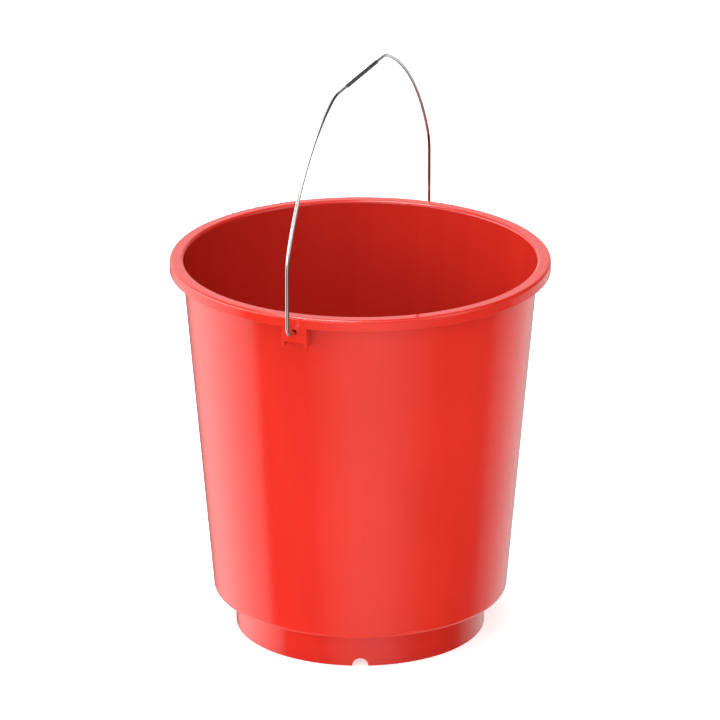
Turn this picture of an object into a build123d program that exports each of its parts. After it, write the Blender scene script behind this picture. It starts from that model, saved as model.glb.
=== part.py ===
from build123d import *
from math import atan2, cos, degrees, radians, sin, sqrt, tan
import os

# A round wash bucket of nominal 15 litres, moulded in one piece, with a hooked wire bail
# and a thin plastic sleeve on the bail's flat top.
# Millimetres. +Z is up, the origin is the centre of the foot ring's underside, and the
# bail's pivot axis is parallel to X.

# Tapered wall and floor
WALL_DRAFT_DEG = 4.9          # taper of the wall, wider at the top
WALL_T = 1.6                  # horizontal thickness of the wall
WALL_R_BOTTOM = 121.7         # outer radius at the datum height below
WALL_DATUM_Z = 34.5
UNDERSIDE_Z = 31.2            # underside of the floor
FLOOR_T = 2.5
CORNER_R = 4.5                # outer radius of the wall-to-floor corner
INNER_CORNER_R = 3.5          # inner radius of the wall-to-floor corner

# Rim: a flat flange with a skirt turned down all round it
RIM_TOP_Z = 319.0
RIM_R = 156.0                 # outer radius of the skirt
SKIRT_H = 9.3
SKIRT_T = 1.9
FLANGE_T = 2.2
RIM_OUTER_FILLET = 2.4
RIM_INNER_FILLET = 2.6

# Foot ring
FOOT_R = 103.4                # outer radius, the same all the way up
FOOT_T = 2.6                  # thickness where it stands, a little more under the floor
FOOT_DRAFT = 0.4
FOOT_FILLET = 7.3             # hollow curve between the ring and the floor's underside
FOOT_EDGE_R = 0.6
NOTCH_R = 6.5                 # half-round drain notch in the ring's bottom edge
NOTCH_CENTRE_Z = 0.4
NOTCH_ANGLE_DEG = -160.2      # plan angle of the notch, from +X towards +Y

# Under the floor
GUSSETS = 8
GUSSET_T = 1.6
GUSSET_LEG = 13.0
DISH_R = 14.0                 # shallow dish round the injection point
DISH_DEPTH = 0.8
GATE_R = 2.2
GATE_H = 0.6

# Ears: a hollow box under the rim at each end of the X axis
EAR_FACE_X = 155.4            # front face of the ear's plate
EAR_PLATE_T = 1.8
EAR_W = 20.8
EAR_RIB_T = 1.8
EAR_PLATE_BOTTOM_Z = 297.4
EAR_RIB_BOTTOM_Z = 293.2
EAR_EDGE_R = 0.35
EAR_HOLE_R = 2.15
EAR_HOLE_DROP = 0.35          # the wire hangs this far below the hole's centre

# Bail
PIVOT_Z = 306.0
WIRE_D = 3.0
LEG_X = 170.4                 # the straight legs, each side of the axis
TOP_Z = 474.15                # the flat top for the hand
SHOULDER_R = 182.5            # the two round shoulders share one centre
SHOULDER_Z = 301.6
BEND_R = 45.0                 # bends between leg, shoulder and top
FOOT_BEND_R = 9.0             # bend at the foot of each leg
HOOK_X = 150.2                # the hooked end behind the ear's plate
HOOK_BEND_R = 2.6
HOOK_RISE = 6.4               # height of the hook's tip over the pivot axis
WIRE_END_CHAMFER = 0.4

# Sleeve
SLEEVE_BORE_R = WIRE_D / 2 + 0.05
SLEEVE_R = 1.75
SLEEVE_FROM_X = -33.0
SLEEVE_TO_X = 38.3

CUT_MARGIN = 1.0              # how far a cutting tool runs past the face it cuts


def wall_r(z):
    """Outer radius of the tapered wall at height z."""
    return WALL_R_BOTTOM + (z - WALL_DATUM_Z) * tan(radians(WALL_DRAFT_DEG))


def shell():
    """The round moulding without ears: floor, foot ring, wall and rim, turned about Z."""
    flange_under_z = RIM_TOP_Z - FLANGE_T
    floor_z = UNDERSIDE_Z + FLOOR_T
    skirt_bottom_z = RIM_TOP_Z - SKIRT_H
    corners = [
        # radius, height, rounding of the corner
        (0, UNDERSIDE_Z, 0),
        (FOOT_R - FOOT_T - FOOT_DRAFT, UNDERSIDE_Z, 2.0),
        (FOOT_R - FOOT_T, 0, 0.6),
        (FOOT_R, 0, FOOT_EDGE_R),
        (FOOT_R, UNDERSIDE_Z, FOOT_FILLET),
        (wall_r(UNDERSIDE_Z), UNDERSIDE_Z, CORNER_R),
        (wall_r(flange_under_z), flange_under_z, 0.8),
        (RIM_R - SKIRT_T, flange_under_z, 0.8),
        (RIM_R - SKIRT_T, skirt_bottom_z, 0.3),
        (RIM_R, skirt_bottom_z, 0.5),
        (RIM_R, RIM_TOP_Z, RIM_OUTER_FILLET),
        (wall_r(RIM_TOP_Z) - WALL_T, RIM_TOP_Z, RIM_INNER_FILLET),
        (wall_r(floor_z) - WALL_T, floor_z, INNER_CORNER_R),
        (0, floor_z, 0),
    ]
    outline = FilletPolyline(
        *[(r, 0, z) for r, z, _ in corners],
        radius=[rounding for _, _, rounding in corners],
        close=True,
    )
    return revolve(make_face(outline), axis=Axis.Z)


def ear():
    """The hollow ear under the rim on the +X side, open at its bottom."""
    inner_x = wall_r(EAR_RIB_BOTTOM_Z) - WALL_T / 2
    top_z = RIM_TOP_Z - FLANGE_T / 2
    rib_h = top_z - EAR_RIB_BOTTOM_Z
    plate_h = top_z - EAR_PLATE_BOTTOM_Z
    plate = Pos(EAR_FACE_X - EAR_PLATE_T / 2, 0, top_z - plate_h / 2) * Box(EAR_PLATE_T, EAR_W, plate_h)
    body = plate
    for side in (-1, 1):
        rib_y = side * (EAR_W - EAR_RIB_T) / 2
        rib_x = (EAR_FACE_X + inner_x) / 2
        body += Pos(rib_x, rib_y, top_z - rib_h / 2) * Box(EAR_FACE_X - inner_x, EAR_RIB_T, rib_h)
    front_corners = body.edges().filter_by(Axis.Z).group_by(Axis.X)[-1]
    outer_corners = front_corners.filter_by(lambda edge: abs(edge.center().Y) > EAR_W / 2 - EAR_RIB_T / 2)
    return fillet(outer_corners, EAR_EDGE_R)


def ear_inner_trim():
    """The space inside the wall, which takes off what the ears' ribs reach past it."""
    floor_z = UNDERSIDE_Z + FLOOR_T
    top_z = RIM_TOP_Z + CUT_MARGIN
    height = top_z - floor_z
    return Pos(0, 0, floor_z + height / 2) * Cone(wall_r(floor_z) - WALL_T, wall_r(top_z) - WALL_T, height)


def ear_hole():
    """The cut for the wire's hole through the plate of the ear on the +X side."""
    length = EAR_PLATE_T + 2 * CUT_MARGIN
    centre_x = EAR_FACE_X - EAR_PLATE_T / 2
    return Pos(centre_x, 0, PIVOT_Z + EAR_HOLE_DROP) * Rot(0, 90, 0) * Cylinder(EAR_HOLE_R, length)


def foot_gusset(angle_deg):
    """One triangular web between the foot ring's inside and the floor's underside."""
    outer_r = FOOT_R - FOOT_T / 2
    top_z = UNDERSIDE_Z + FLOOR_T / 2
    web = make_face(
        Polyline(
            (outer_r, 0, top_z),
            (outer_r - GUSSET_LEG, 0, top_z),
            (outer_r, 0, top_z - GUSSET_LEG),
            close=True,
        )
    )
    return Rot(0, 0, angle_deg) * extrude(web, GUSSET_T / 2, both=True)


def notch():
    """The cut for the half-round notch through the foot ring."""
    length = FOOT_T + 4 * CUT_MARGIN
    centre_r = FOOT_R - FOOT_T / 2
    tool = Rot(0, 90, 0) * Cylinder(NOTCH_R, length)
    return Rot(0, 0, NOTCH_ANGLE_DEG) * Pos(centre_r, 0, NOTCH_CENTRE_Z) * tool


def bucket():
    """The whole moulding: the turned shell with its ears, gussets, gate mark and notch."""
    trim = ear_inner_trim()
    body = shell()
    for angle_deg in (0, 180):
        body += Rot(0, 0, angle_deg) * (ear() - trim)
    for i in range(GUSSETS):
        body += foot_gusset(NOTCH_ANGLE_DEG + (i + 0.5) * 360 / GUSSETS)
    for angle_deg in (0, 180):
        body -= Rot(0, 0, angle_deg) * ear_hole()
    dish_z = UNDERSIDE_Z + DISH_DEPTH
    body -= Pos(0, 0, dish_z) * Cylinder(
        DISH_R, DISH_DEPTH + CUT_MARGIN, align=(Align.CENTER, Align.CENTER, Align.MAX)
    )
    body += Pos(0, 0, dish_z) * Cylinder(GATE_R, 2 * GATE_H)
    body -= notch()
    return body


def bail_half():
    """The wire's centre line from the middle of the flat top down to the hooked end at +X."""
    rise = TOP_Z - SHOULDER_Z
    bend_centre_r = SHOULDER_R - BEND_R
    top_bend_x = sqrt(bend_centre_r**2 - (rise - BEND_R) ** 2)
    leg_bend_rise = sqrt(bend_centre_r**2 - (LEG_X - BEND_R) ** 2)
    top_bend_deg = degrees(atan2(rise - BEND_R, top_bend_x))
    leg_bend_deg = degrees(atan2(leg_bend_rise, LEG_X - BEND_R))
    leg_top_z = SHOULDER_Z + leg_bend_rise

    def arc(x, z, radius, from_deg, to_deg):
        mid_deg = (from_deg + to_deg) / 2
        points = [
            (x + radius * cos(radians(deg)), 0, z + radius * sin(radians(deg)))
            for deg in (from_deg, mid_deg, to_deg)
        ]
        return ThreePointArc(*points)

    return [
        Line((0, 0, TOP_Z), (top_bend_x, 0, TOP_Z)),
        arc(top_bend_x, TOP_Z - BEND_R, BEND_R, 90, top_bend_deg),
        arc(0, SHOULDER_Z, SHOULDER_R, top_bend_deg, leg_bend_deg),
        arc(LEG_X - BEND_R, leg_top_z, BEND_R, leg_bend_deg, 0),
        Line((LEG_X, 0, leg_top_z), (LEG_X, 0, PIVOT_Z + FOOT_BEND_R)),
        arc(LEG_X - FOOT_BEND_R, PIVOT_Z + FOOT_BEND_R, FOOT_BEND_R, 0, -90),
        Line((LEG_X - FOOT_BEND_R, 0, PIVOT_Z), (HOOK_X + HOOK_BEND_R, 0, PIVOT_Z)),
        arc(HOOK_X + HOOK_BEND_R, PIVOT_Z + HOOK_BEND_R, HOOK_BEND_R, -90, -180),
        Line((HOOK_X, 0, PIVOT_Z + HOOK_BEND_R), (HOOK_X, 0, PIVOT_Z + HOOK_RISE)),
    ]


def bail():
    """The bent wire, swept in two mirrored halves that meet at the middle of the flat top."""
    section = Plane(origin=(0, 0, TOP_Z), z_dir=(1, 0, 0)) * Circle(WIRE_D / 2)
    half = sweep(section, path=Wire(bail_half()))
    tip = half.faces().filter_by(Plane.XY).sort_by(Axis.Z)[0]
    half = chamfer(tip.edges(), WIRE_END_CHAMFER)
    return half + mirror(half, about=Plane.YZ)


def grip_sleeve():
    """The thin plastic tube on the bail's flat top, a little off its middle, free to turn on the wire."""
    length = SLEEVE_TO_X - SLEEVE_FROM_X
    tube = Cylinder(SLEEVE_R, length) - Cylinder(SLEEVE_BORE_R, length + 2 * CUT_MARGIN)
    return Pos((SLEEVE_FROM_X + SLEEVE_TO_X) / 2, 0, TOP_Z) * Rot(0, 90, 0) * tube


os.makedirs("parts", exist_ok=True)
export_step(bucket(), "parts/bucket.step")
export_step(bail(), "parts/bail.step")
export_step(grip_sleeve(), "parts/grip_sleeve.step")
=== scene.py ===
"""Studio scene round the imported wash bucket: camera, light, floor, and the look of each piece.

Metres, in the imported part's own frame: Z up, the bail's pivot axis along X.
"""

from math import atan2, cos, hypot, pi, radians, sin, sqrt

import bmesh
import bpy
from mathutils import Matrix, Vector


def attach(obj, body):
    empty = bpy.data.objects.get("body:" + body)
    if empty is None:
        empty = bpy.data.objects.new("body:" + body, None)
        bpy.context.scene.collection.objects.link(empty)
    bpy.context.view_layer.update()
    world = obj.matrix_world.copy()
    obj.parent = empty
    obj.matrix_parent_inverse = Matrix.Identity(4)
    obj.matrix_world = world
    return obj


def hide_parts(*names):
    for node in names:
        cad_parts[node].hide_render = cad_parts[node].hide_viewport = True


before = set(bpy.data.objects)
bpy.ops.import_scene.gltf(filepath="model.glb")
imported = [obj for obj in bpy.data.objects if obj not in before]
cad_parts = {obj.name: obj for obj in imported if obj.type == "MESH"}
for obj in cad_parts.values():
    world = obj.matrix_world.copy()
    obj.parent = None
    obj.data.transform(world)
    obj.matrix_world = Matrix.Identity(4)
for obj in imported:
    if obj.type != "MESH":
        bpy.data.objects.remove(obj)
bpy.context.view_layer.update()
scene = bpy.context.scene

# The camera looks down 20 degrees through a long lens, at a point near the bucket's middle.
VIEW_AZIMUTH = radians(-70.17)
VIEW_ELEVATION = radians(20.1)
VIEW_DISTANCE = 4.874
VIEW_AIM_Z = 0.2287
VIEW_LENS_MM = 296.4
VIEW_SHIFT = (-0.0005, 0.0007)
VIEW_FAR = 50.0

# Floor
FLOOR_HALF_SIZE = 6.0
FLOOR_DROP = 0.0002           # keeps the floor just clear of the foot ring
FLOOR_GREY = 0.86
FLOOR_GLOW = 0.6

# Bail wire, as modelled in the part
WIRE_R = 0.0015
LEG_X = 0.1704
PIVOT_Z = 0.3060
TOP_Z = 0.47415
SHOULDER_R = 0.1825
SHOULDER_Z = 0.3016
BEND_R = 0.045
FOOT_BEND_R = 0.009
HOOK_X = 0.1502
HOOK_BEND_R = 0.0026
HOOK_RISE = 0.0064
WIRE_TIP_CHAMFER = 0.0004

# Sleeve on the bail's flat top
SLEEVE_R = 0.00175
SLEEVE_BORE_R = 0.00155
SLEEVE_FROM_X = -0.0330
SLEEVE_TO_X = 0.0383
SLEEVE_LIP_R = 0.00008        # rounding of the sleeve's cut ends
SLEEVE_ROWS = 36              # rows of faces along the sleeve

RING_POINTS = 48              # points round the wire and round the sleeve
SHARP_ANGLE = radians(32)


class Graph:
    """A short way to add and link shader nodes in one node tree."""

    def __init__(self, tree):
        self.tree = tree
        tree.nodes.clear()

    def add(self, kind, inputs=None, **settings):
        node = self.tree.nodes.new(kind)
        for name, value in settings.items():
            setattr(node, name, value)
        for name, value in (inputs or {}).items():
            self.put(node.inputs[name], value)
        return node

    def put(self, socket, value):
        if isinstance(value, bpy.types.NodeSocket):
            self.tree.links.new(value, socket)
        else:
            socket.default_value = value

    def math(self, operation, a, b=0.0, c=0.0):
        return self.add("ShaderNodeMath", {0: a, 1: b, 2: c}, operation=operation).outputs[0]

    def total(self, *terms):
        result = terms[0]
        for term in terms[1:]:
            result = self.math("ADD", result, term)
        return result

    def product(self, *factors):
        result = factors[0]
        for factor in factors[1:]:
            result = self.math("MULTIPLY", result, factor)
        return result

    def step(self, value, low, high, to_min=0.0, to_max=1.0):
        node = self.add("ShaderNodeMapRange", {
            "Value": value, "From Min": low, "From Max": high, "To Min": to_min, "To Max": to_max,
        }, interpolation_type="SMOOTHSTEP")
        return node.outputs["Result"]

    def noise(self, vector, scale, detail=3.0, roughness=0.5):
        node = self.add("ShaderNodeTexNoise", {
            "Vector": vector, "Scale": scale, "Detail": detail, "Roughness": roughness,
        })
        return node.outputs[0]

    def stretched(self, vector, scale):
        return self.add("ShaderNodeMapping", {"Vector": vector, "Scale": scale}).outputs[0]

    def mix(self, factor, a, b):
        return self.add("ShaderNodeMix", {0: factor, 6: a, 7: b}, data_type="RGBA").outputs[2]

    def bump(self, height, distance, normal=None):
        inputs = {"Strength": 1.0, "Distance": distance, "Height": height}
        if normal is not None:
            inputs["Normal"] = normal
        return self.add("ShaderNodeBump", inputs).outputs[0]


def add_camera():
    back = Vector((
        sin(VIEW_AZIMUTH) * cos(VIEW_ELEVATION),
        -cos(VIEW_AZIMUTH) * cos(VIEW_ELEVATION),
        sin(VIEW_ELEVATION),
    ))
    data = bpy.data.cameras.new("camera")
    data.lens = VIEW_LENS_MM
    data.shift_x, data.shift_y = VIEW_SHIFT
    data.clip_end = VIEW_FAR
    camera = bpy.data.objects.new("camera", data)
    camera.location = Vector((0, 0, VIEW_AIM_Z)) + back * VIEW_DISTANCE
    camera.rotation_euler = (-back).to_track_quat("-Z", "Y").to_euler()
    scene.collection.objects.link(camera)
    scene.camera = camera


def add_studio():
    """A surround of soft panels in bands of height.

    Low: left, front and right. Middle: left, front left and right, with a dim backdrop.
    High: front, right and behind. Top: one large panel on the left.
    """
    world = bpy.data.worlds.new("studio")
    scene.world = world
    world.use_nodes = True
    g = Graph(world.node_tree)
    direction = g.add("ShaderNodeTexCoord").outputs["Generated"]
    x, y, z = g.add("ShaderNodeSeparateXYZ", {0: direction}).outputs
    # degrees; azimuth 0 is towards the camera and positive to the camera's right
    toward = VIEW_AZIMUTH
    front = g.math("SUBTRACT", g.math("MULTIPLY", x, sin(toward)), g.math("MULTIPLY", y, cos(toward)))
    right = g.math("ADD", g.math("MULTIPLY", x, cos(toward)), g.math("MULTIPLY", y, sin(toward)))
    azimuth = g.math("MULTIPLY", g.math("ARCTAN2", right, front), 180 / pi)
    elevation = g.math("MULTIPLY", g.math("ARCSINE", z), 180 / pi)

    def bell(centre, half_width, peak):
        """A soft panel: its azimuth and half width in degrees, and its brightness in the middle."""
        offset = g.math("WRAP", g.math("SUBTRACT", azimuth, centre), 180.0, -180.0)
        near = g.math("MINIMUM", g.math("ABSOLUTE", g.math("DIVIDE", offset, half_width)), 1.0)
        wave = g.math("COSINE", g.math("MULTIPLY", near, pi / 2))
        return g.product(wave, wave, peak)

    low = g.total(
        g.product(bell(-112, 70, 2.05), g.step(azimuth, -70, -81)),
        g.product(bell(7, 58, 0.85), g.step(azimuth, -42, -27)),
        g.product(bell(138, 62, 0.97), g.step(azimuth, 96, 110, 0.25, 1.0)),
        0.03,
    )
    middle = g.total(
        bell(-96, 54, 5.2),
        g.product(bell(-42, 66, 2.6), g.step(azimuth, 10, -8)),
        bell(54, 34, 1.8), bell(-150, 45, 0.9), bell(180, 55, 0.75), 0.03,
    )
    high = g.total(bell(-160, 50, 0.9), bell(4, 52, 2.3), bell(64, 40, 1.5), 0.03)
    top = g.total(bell(-72, 110, 18.0), 0.2)

    under_low = g.step(elevation, -62, -42)
    over_low = g.step(elevation, -4, 10)
    over_middle = g.step(elevation, 22, 36)
    over_high = g.step(elevation, 52, 76)
    level = g.total(
        g.product(g.math("SUBTRACT", 1.0, under_low), 0.45),
        g.product(g.math("SUBTRACT", under_low, over_low), low),
        g.product(g.math("SUBTRACT", over_low, over_middle), middle),
        g.product(g.math("SUBTRACT", over_middle, over_high), high),
        g.product(over_high, top),
    )
    background = g.add("ShaderNodeBackground", {"Strength": level, "Color": (1, 1, 1, 1)})
    g.add("ShaderNodeOutputWorld", {"Surface": background.outputs[0]})


def add_floor():
    """A pale plane that glows a little, so that it stays nearly white."""
    mesh = bpy.data.meshes.new("floor")
    size = FLOOR_HALF_SIZE
    corners = [(-size, -size, 0), (size, -size, 0), (size, size, 0), (-size, size, 0)]
    mesh.from_pydata(corners, [], [(0, 1, 2, 3)])
    floor = bpy.data.objects.new("floor", mesh)
    scene.collection.objects.link(floor)
    floor.location.z = -FLOOR_DROP
    floor.visible_glossy = False
    material = bpy.data.materials.new("floor")
    material.use_nodes = True
    g = Graph(material.node_tree)
    diffuse = g.add("ShaderNodeBsdfDiffuse", {"Color": (FLOOR_GREY, FLOOR_GREY, FLOOR_GREY, 1)})
    glow = g.add("ShaderNodeEmission", {"Color": (1, 1, 1, 1), "Strength": FLOOR_GLOW})
    both = g.add("ShaderNodeAddShader", {0: diffuse.outputs[0], 1: glow.outputs[0]})
    g.add("ShaderNodeOutputMaterial", {"Surface": both.outputs[0]})
    mesh.materials.append(material)


def red_plastic():
    """Glossy moulded polyolefin: faint flow lines and mottling, fine orange peel, light handling wear."""
    material = bpy.data.materials.new("bucket_plastic")
    material.use_nodes = True
    g = Graph(material.node_tree)
    place = g.add("ShaderNodeTexCoord").outputs["Object"]
    z = g.add("ShaderNodeSeparateXYZ", {0: place}).outputs[2]

    mottle = g.noise(place, 9.0, 4.0)
    flow = g.noise(g.stretched(place, (45, 45, 3.5)), 1.0, 4.0, 0.6)
    shade = g.step(g.total(g.product(mottle, 0.55), g.product(flow, 0.45)), 0.3, 0.7)
    colour = g.mix(shade, (0.455, 0.0180, 0.0108, 1), (0.505, 0.0212, 0.0130, 1))

    # hairlines round the wall, a scuffed band where the foot stands, and a dulled top of the rim
    hairline = g.step(g.noise(g.stretched(place, (14, 14, 900)), 1.0, 2.0, 0.7), 0.66, 0.74)
    patch = g.step(g.noise(place, 17.0, 2.0), 0.48, 0.62)
    scratch = g.product(hairline, patch)
    foot = g.product(g.step(z, 0.006, 0.0005), g.step(g.noise(place, 160.0, 4.0), 0.35, 0.65))
    rubbed = g.product(g.step(z, 0.3175, 0.319), g.step(g.noise(place, 60.0, 4.0), 0.5, 0.7))
    roughness = g.total(
        0.035,
        g.product(g.noise(place, 38.0, 4.0), 0.025),
        g.product(scratch, 0.05),
        g.product(foot, 0.22),
        g.product(rubbed, 0.05),
    )

    swell = g.bump(g.noise(g.stretched(place, (30, 30, 8)), 1.0, 2.0), 0.000035)
    peel = g.bump(g.noise(place, 750.0, 2.0), 0.0000022, swell)
    normal = g.bump(scratch, 0.0000015, peel)
    shader = g.add("ShaderNodeBsdfPrincipled", {
        "Base Color": colour, "Roughness": roughness, "IOR": 1.49, "Normal": normal,
    })
    g.add("ShaderNodeOutputMaterial", {"Surface": shader.outputs[0]})
    return material


def along_piece(g, around, along):
    """A seamless texture vector from a piece's UVs: a circle of radius `around`, and metres times `along`."""
    uv = g.add("ShaderNodeTexCoord").outputs["UV"]
    u, v = g.add("ShaderNodeSeparateXYZ", {0: uv}).outputs[:2]
    angle = g.math("MULTIPLY", u, 2 * pi)
    return g.add("ShaderNodeCombineXYZ", {
        0: g.math("MULTIPLY", g.math("COSINE", angle), around),
        1: g.math("MULTIPLY", g.math("SINE", angle), around),
        2: g.math("MULTIPLY", v, along),
    }).outputs[0]


def wire_metal():
    """Bright drawn and plated steel: die lines along the wire, faint clouding, small nicks."""
    material = bpy.data.materials.new("bail_wire")
    material.use_nodes = True
    g = Graph(material.node_tree)
    drawn = g.noise(along_piece(g, 3.0, 6.0), 1.0, 5.0, 0.65)
    cloud = g.noise(along_piece(g, 0.4, 45.0), 1.0, 4.0)
    nick = g.step(g.noise(along_piece(g, 1.6, 900.0), 1.0, 2.0), 0.70, 0.78)
    colour = g.mix(g.step(cloud, 0.35, 0.7), (0.60, 0.595, 0.58, 1), (0.51, 0.505, 0.49, 1))
    roughness = g.total(0.05, g.product(drawn, 0.07), g.product(cloud, 0.04), g.product(nick, 0.12))
    lines = g.bump(drawn, 0.000004)
    normal = g.bump(nick, 0.000004, lines)
    shader = g.add("ShaderNodeBsdfPrincipled", {
        "Base Color": colour, "Metallic": 1.0, "Roughness": roughness, "Normal": normal,
    })
    g.add("ShaderNodeOutputMaterial", {"Surface": shader.outputs[0]})
    return material


def sleeve_vinyl():
    """Extruded black vinyl: die lines along it, a slight mottle and dull handling marks."""
    material = bpy.data.materials.new("sleeve_plastic")
    material.use_nodes = True
    g = Graph(material.node_tree)
    drawn = g.noise(along_piece(g, 4.0, 12.0), 1.0, 4.0, 0.6)
    mottle = g.noise(along_piece(g, 1.0, 260.0), 1.0, 4.0)
    colour = g.mix(g.step(mottle, 0.3, 0.7), (0.016, 0.016, 0.017, 1), (0.026, 0.026, 0.027, 1))
    roughness = g.total(0.34, g.product(mottle, 0.14), g.product(drawn, 0.05))
    lines = g.bump(drawn, 0.000008)
    normal = g.bump(mottle, 0.000006, lines)
    shader = g.add("ShaderNodeBsdfPrincipled", {
        "Base Color": colour, "Roughness": roughness, "IOR": 1.5, "Normal": normal,
    })
    g.add("ShaderNodeOutputMaterial", {"Surface": shader.outputs[0]})
    return material


def paint(node, material):
    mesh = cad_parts[node].data
    mesh.materials.clear()
    mesh.materials.append(material)


def ring(centre, axis, radius):
    """Points round a centre, square to an axis that lies in the XZ plane."""
    side = Vector((-axis.z, 0, axis.x)).normalized()
    across = Vector((0, 1, 0))
    angles = [2 * pi * i / RING_POINTS for i in range(RING_POINTS)]
    return [centre + radius * (cos(angle) * side + sin(angle) * across) for angle in angles]


def skin(name, rings, closed):
    """A quad mesh over rings of points, with UVs round it and along it, its ends capped unless closed."""
    shape = bmesh.new()
    layer = shape.loops.layers.uv.new("along")
    rows = [[shape.verts.new(point) for point in points] for points in rings]
    lengths = [0.0]
    for before, after in zip(rings, rings[1:]):
        lengths.append(lengths[-1] + (after[0] - before[0]).length)
    pairs = [(i, i + 1) for i in range(len(rows) - 1)]
    if closed:
        pairs.append((len(rows) - 1, 0))
    count = len(rows[0])
    for a, b in pairs:
        near = lengths[a]
        far = lengths[b] if b else near + (rings[0][0] - rings[a][0]).length
        for i in range(count):
            j = (i + 1) % count
            face = shape.faces.new((rows[a][i], rows[a][j], rows[b][j], rows[b][i]))
            corners = ((i, near), (i + 1, near), (i + 1, far), (i, far))
            for loop, (turn, length) in zip(face.loops, corners):
                loop[layer].uv = (turn / count, length)
    if not closed:
        shape.faces.new(list(reversed(rows[0])))
        shape.faces.new(rows[-1])
    bmesh.ops.recalc_face_normals(shape, faces=shape.faces)
    mesh = bpy.data.meshes.new(name)
    shape.to_mesh(mesh)
    shape.free()
    mesh.shade_smooth()
    mesh.set_sharp_from_angle(angle=SHARP_ANGLE)
    piece = bpy.data.objects.new(name, mesh)
    scene.collection.objects.link(piece)
    return piece


def bail_half():
    """Centre-line points from the middle of the flat top down to the tip of the +X hook."""
    rise = TOP_Z - SHOULDER_Z
    reach = SHOULDER_R - BEND_R
    top_x = sqrt(reach**2 - (rise - BEND_R) ** 2)
    leg_rise = sqrt(reach**2 - (LEG_X - BEND_R) ** 2)
    top_angle = atan2(rise - BEND_R, top_x)
    leg_angle = atan2(leg_rise, LEG_X - BEND_R)
    points = []

    def line(x0, z0, x1, z1, pitch=0.004):
        steps = max(1, round(hypot(x1 - x0, z1 - z0) / pitch))
        points.extend((x0 + (x1 - x0) * i / steps, z0 + (z1 - z0) * i / steps) for i in range(steps))

    def arc(x, z, radius, start, end, pitch=radians(1.5)):
        steps = max(6, round(abs(end - start) / pitch))
        angles = [start + (end - start) * i / steps for i in range(steps)]
        points.extend((x + radius * cos(angle), z + radius * sin(angle)) for angle in angles)

    line(0, TOP_Z, top_x, TOP_Z)
    arc(top_x, TOP_Z - BEND_R, BEND_R, pi / 2, top_angle)
    arc(0, SHOULDER_Z, SHOULDER_R, top_angle, leg_angle)
    arc(LEG_X - BEND_R, SHOULDER_Z + leg_rise, BEND_R, leg_angle, 0)
    line(LEG_X, SHOULDER_Z + leg_rise, LEG_X, PIVOT_Z + FOOT_BEND_R)
    arc(LEG_X - FOOT_BEND_R, PIVOT_Z + FOOT_BEND_R, FOOT_BEND_R, 0, -pi / 2, radians(4))
    line(LEG_X - FOOT_BEND_R, PIVOT_Z, HOOK_X + HOOK_BEND_R, PIVOT_Z, 0.002)
    arc(HOOK_X + HOOK_BEND_R, PIVOT_Z + HOOK_BEND_R, HOOK_BEND_R, -pi / 2, -pi, radians(7))
    tip_z = PIVOT_Z + HOOK_RISE
    line(HOOK_X, PIVOT_Z + HOOK_BEND_R, HOOK_X, tip_z - WIRE_TIP_CHAMFER, 0.001)
    points.append((HOOK_X, tip_z - WIRE_TIP_CHAMFER))
    return [Vector((x, 0, z)) for x, z in points]


def add_wire():
    """The bail's wire in one sweep, from the tip of one hook to the tip of the other."""
    half = bail_half()
    mirrored = [Vector((-point.x, 0, point.z)) for point in reversed(half[1:])]
    centres = mirrored + half
    rings = []
    for i, centre in enumerate(centres):
        before = centres[max(i - 1, 0)]
        after = centres[min(i + 1, len(centres) - 1)]
        rings.append(ring(centre, (after - before).normalized(), WIRE_R))
    lift = Vector((0, 0, WIRE_TIP_CHAMFER))
    rings.insert(0, ring(centres[0] + lift, Vector((0, 0, -1)), WIRE_R - WIRE_TIP_CHAMFER))
    rings.append(ring(centres[-1] + lift, Vector((0, 0, 1)), WIRE_R - WIRE_TIP_CHAMFER))
    wire = skin("drawn_wire", rings, closed=False)
    wire.data.materials.append(wire_metal())
    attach(wire, "bail")
    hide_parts("bail")


def add_sleeve():
    """The thin tube round the bail's flat top, with slightly rounded ends."""
    axis = Vector((1, 0, 0))
    turn = [radians(angle) for angle in range(0, 91, 18)]
    lip = SLEEVE_LIP_R
    profile = []
    for x_end, radius, start in (
        (SLEEVE_TO_X - lip, SLEEVE_R - lip, pi / 2),
        (SLEEVE_TO_X - lip, SLEEVE_BORE_R + lip, 0),
        (SLEEVE_FROM_X + lip, SLEEVE_BORE_R + lip, -pi / 2),
        (SLEEVE_FROM_X + lip, SLEEVE_R - lip, -pi),
    ):
        profile.extend((x_end + lip * cos(start - a), radius + lip * sin(start - a)) for a in turn)
    length = SLEEVE_TO_X - SLEEVE_FROM_X - 2 * lip
    outside = [
        (SLEEVE_FROM_X + lip + length * i / SLEEVE_ROWS, SLEEVE_R) for i in range(1, SLEEVE_ROWS)
    ]
    rings = [ring(Vector((x, 0, TOP_Z)), axis, radius) for x, radius in profile + outside]
    sleeve = skin("extruded_sleeve", rings, closed=True)
    sleeve.data.materials.append(sleeve_vinyl())
    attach(sleeve, "grip_sleeve")
    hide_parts("grip_sleeve")


add_camera()
add_studio()
add_floor()
paint("bucket", red_plastic())
add_wire()
add_sleeve()
scene.view_settings.view_transform = "Standard"
